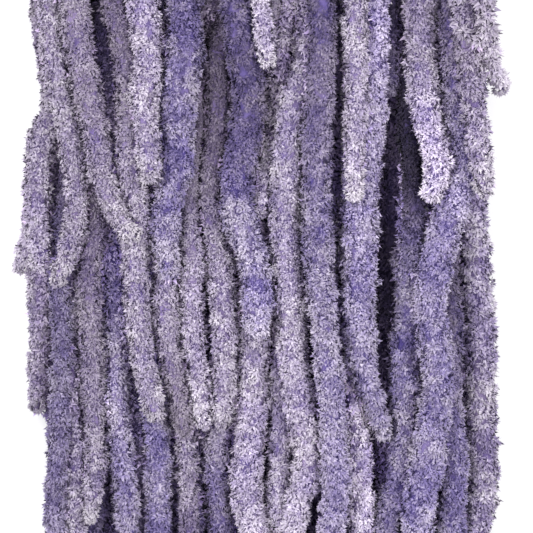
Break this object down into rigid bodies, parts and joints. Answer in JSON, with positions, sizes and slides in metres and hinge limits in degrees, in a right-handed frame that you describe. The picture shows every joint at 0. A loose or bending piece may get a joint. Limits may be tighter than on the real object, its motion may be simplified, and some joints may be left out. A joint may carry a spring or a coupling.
{
  "type": "amaranth seed head",
  "caption": "Cut head of love-lies-bleeding amaranth, dyed lilac, lying down: one stem with a fan of long drooping tassels, covered in tiny pointed florets and laid in tiers.",
  "frame": {"origin": "middle of the underside: the bottom centre of the bounding box, on the table", "axes": "+X across the head, +Y from the tassels' tips to the stem's cut end, +Z up from the table; the picture looks along -Z with +Y up"},
  "size_m": [0.188, 0.4088, 0.0514],
  "materials": {
    "lavender": "matte, papery florets with pale tips",
    "mauve": "matte, papery florets, greyish mauve",
    "violet": "matte, papery florets, blue violet with pale tips",
    "deep_violet": "matte, papery florets in the shade of the others",
    "stem": "matte, ribbed"
  },
  "bodies": {
    "root": {"tassel_under_01": "deep_violet", "tassel_under_02": "deep_violet", "tassel_under_03": "deep_violet", "tassel_under_04": "deep_violet", "tassel_under_05": "deep_violet", "tassel_under_06": "deep_violet", "tassel_under_07": "deep_violet", "tassel_under_08": "deep_violet", "tassel_under_09": "deep_violet", "tassel_under_10": "deep_violet", "tassel_under_11": "deep_violet", "tassel_under_12": "deep_violet", "tassel_under_13": "deep_violet", "tassel_under_14": "deep_violet", "tassel_under_15": "deep_violet", "tassel_under_16": "deep_violet", "tassel_under_17": "deep_violet", "tassel_middle_01": "mauve", "tassel_middle_02": "mauve", "tassel_middle_03": "violet", "tassel_middle_04": "violet", "tassel_middle_05": "violet", "tassel_middle_06": "lavender", "tassel_middle_07": "lavender", "tassel_middle_08": "violet", "tassel_middle_09": "violet", "tassel_middle_10": "mauve", "tassel_middle_11": "deep_violet", "tassel_middle_12": "mauve", "tassel_middle_13": "mauve", "tassel_middle_14": "lavender", "tassel_middle_15": "deep_violet", "tassel_middle_16": "deep_violet", "tassel_middle_17": "deep_violet", "tassel_middle_18": "deep_violet", "tassel_upper_01": "mauve", "tassel_upper_02": "mauve", "tassel_upper_03": "lavender", "tassel_upper_04": "mauve", "tassel_upper_05": "mauve", "tassel_upper_06": "mauve", "tassel_upper_07": "lavender", "tassel_upper_08": "violet", "tassel_upper_09": "lavender", "tassel_upper_10": "mauve", "tassel_upper_11": "violet", "tassel_upper_12": "violet", "tassel_upper_13": "mauve", "tassel_upper_14": "lavender", "tassel_upper_15": "violet", "tassel_upper_16": "violet", "tassel_upper_17": "lavender", "tassel_upper_18": "mauve", "tassel_upper_19": "lavender", "tassel_upper_20": "lavender", "tassel_upper_21": "lavender", "tassel_upper_22": "lavender", "tassel_upper_23": "lavender", "stem": "stem"}
  },
  "joints": []
}
